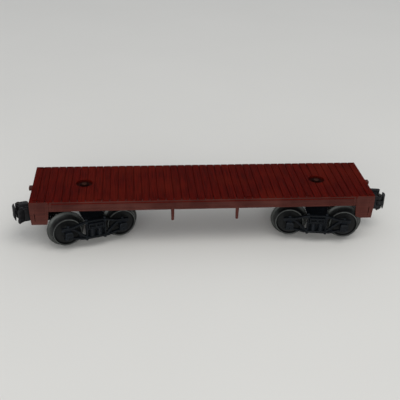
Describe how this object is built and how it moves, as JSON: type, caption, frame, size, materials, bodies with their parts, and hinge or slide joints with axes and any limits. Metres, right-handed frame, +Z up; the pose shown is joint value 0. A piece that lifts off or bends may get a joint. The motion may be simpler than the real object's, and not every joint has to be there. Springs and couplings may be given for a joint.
{
  "type": "model flat car",
  "caption": "Toy railway flat car: plank deck with stake slots on swivelling arch-bar trucks with flanged wheels and knuckle couplers.",
  "frame": {"origin": "on the floor under the car's centre, level with the bottoms of the wheel flanges", "axes": "+X along the car towards its right end, +Y across the car to the rear side, +Z up"},
  "size_m": [0.2238, 0.0586, 0.0304],
  "materials": {
    "maroon_plastic": "moulded maroon plastic, satin, lightly scuffed",
    "black_plastic": "moulded black plastic, satin",
    "wheel_metal": "blackened casting with rubbed treads",
    "black_casting": "black finish, worn on edges",
    "black_steel": "blackened sheet steel",
    "steel": "dull plated steel"
  },
  "bodies": {
    "car_body": {"body": "maroon_plastic", "kingpin_left": "steel", "kingpin_washer_left": "steel", "kingpin_right": "steel", "kingpin_washer_right": "steel"},
    "truck_left": {"truck_bolster_left": "black_plastic", "side_frame_left_front": "black_plastic", "side_frame_left_rear": "black_plastic", "coupler_arm_left": "black_steel", "coupler_head_left": "black_casting", "head_screw_left": "steel", "knuckle_pin_left": "steel", "knuckle_spring_left": "steel", "plate_hinge_pin_left": "steel"},
    "wheelset_left_outer": {"axle_left_outer": "steel", "wheel_left_outer_front": "wheel_metal", "wheel_left_outer_rear": "wheel_metal"},
    "wheelset_left_inner": {"axle_left_inner": "steel", "wheel_left_inner_front": "wheel_metal", "wheel_left_inner_rear": "wheel_metal"},
    "knuckle_left": {"knuckle_left": "black_casting"},
    "uncoupling_plate_left": {"uncoupling_plate_left": "black_steel"},
    "truck_right": {"truck_bolster_right": "black_plastic", "side_frame_right_front": "black_plastic", "side_frame_right_rear": "black_plastic", "coupler_arm_right": "black_steel", "coupler_head_right": "black_casting", "head_screw_right": "steel", "knuckle_pin_right": "steel", "knuckle_spring_right": "steel", "plate_hinge_pin_right": "steel"},
    "wheelset_right_outer": {"axle_right_outer": "steel", "wheel_right_outer_front": "wheel_metal", "wheel_right_outer_rear": "wheel_metal"},
    "wheelset_right_inner": {"axle_right_inner": "steel", "wheel_right_inner_front": "wheel_metal", "wheel_right_inner_rear": "wheel_metal"},
    "knuckle_right": {"knuckle_right": "black_casting"},
    "uncoupling_plate_right": {"uncoupling_plate_right": "black_steel"}
  },
  "joints": [
    {"name": "truck_swivel_left", "type": "hinge", "parent": "car_body", "child": "truck_left", "pos_m": [-0.0699, 0, 0.0239], "axis": [0, 0, 1], "range_deg": [-37.5, 2.5]},
    {"name": "wheelset_left_outer_spin", "type": "hinge", "parent": "truck_left", "child": "wheelset_left_outer", "pos_m": [-0.08525, -0.00484, 0.011], "axis": [0.3007, -0.9537, 0], "continuous": true},
    {"name": "wheelset_left_inner_spin", "type": "hinge", "parent": "truck_left", "child": "wheelset_left_inner", "pos_m": [-0.05455, 0.00484, 0.011], "axis": [0.3007, -0.9537, 0], "continuous": true},
    {"name": "knuckle_swing_left", "type": "hinge", "parent": "truck_left", "child": "knuckle_left", "pos_m": [-0.10788, -0.00925, 0.01795], "axis": [0, 0, -1], "range_deg": [0, 40]},
    {"name": "uncoupling_plate_drop_left", "type": "hinge", "parent": "truck_left", "child": "uncoupling_plate_left", "pos_m": [-0.08993, -0.00631, 0.01335], "axis": [0.3007, -0.9537, 0], "range_deg": [0, 8], "stiffness_Nm_per_rad": 0.002, "springref_deg": -11.46},
    {"name": "truck_swivel_right", "type": "hinge", "parent": "car_body", "child": "truck_right", "pos_m": [0.0699, 0, 0.0239], "axis": [0, 0, 1], "range_deg": [-12.6, 27.4]},
    {"name": "wheelset_right_outer_spin", "type": "hinge", "parent": "truck_right", "child": "wheelset_right_outer", "pos_m": [0.08587, -0.00207, 0.011], "axis": [0.1288, 0.9917, 0], "continuous": true},
    {"name": "wheelset_right_inner_spin", "type": "hinge", "parent": "truck_right", "child": "wheelset_right_inner", "pos_m": [0.05393, 0.00207, 0.011], "axis": [0.1288, 0.9917, 0], "continuous": true},
    {"name": "knuckle_swing_right", "type": "hinge", "parent": "truck_right", "child": "knuckle_right", "pos_m": [0.10824, -0.0076, 0.01795], "axis": [0, 0, -1], "range_deg": [0, 40]},
    {"name": "uncoupling_plate_drop_right", "type": "hinge", "parent": "truck_right", "child": "uncoupling_plate_right", "pos_m": [0.09073, -0.0027, 0.01335], "axis": [0.1288, 0.9917, 0], "range_deg": [0, 8], "stiffness_Nm_per_rad": 0.002, "springref_deg": -11.46}
  ]
}
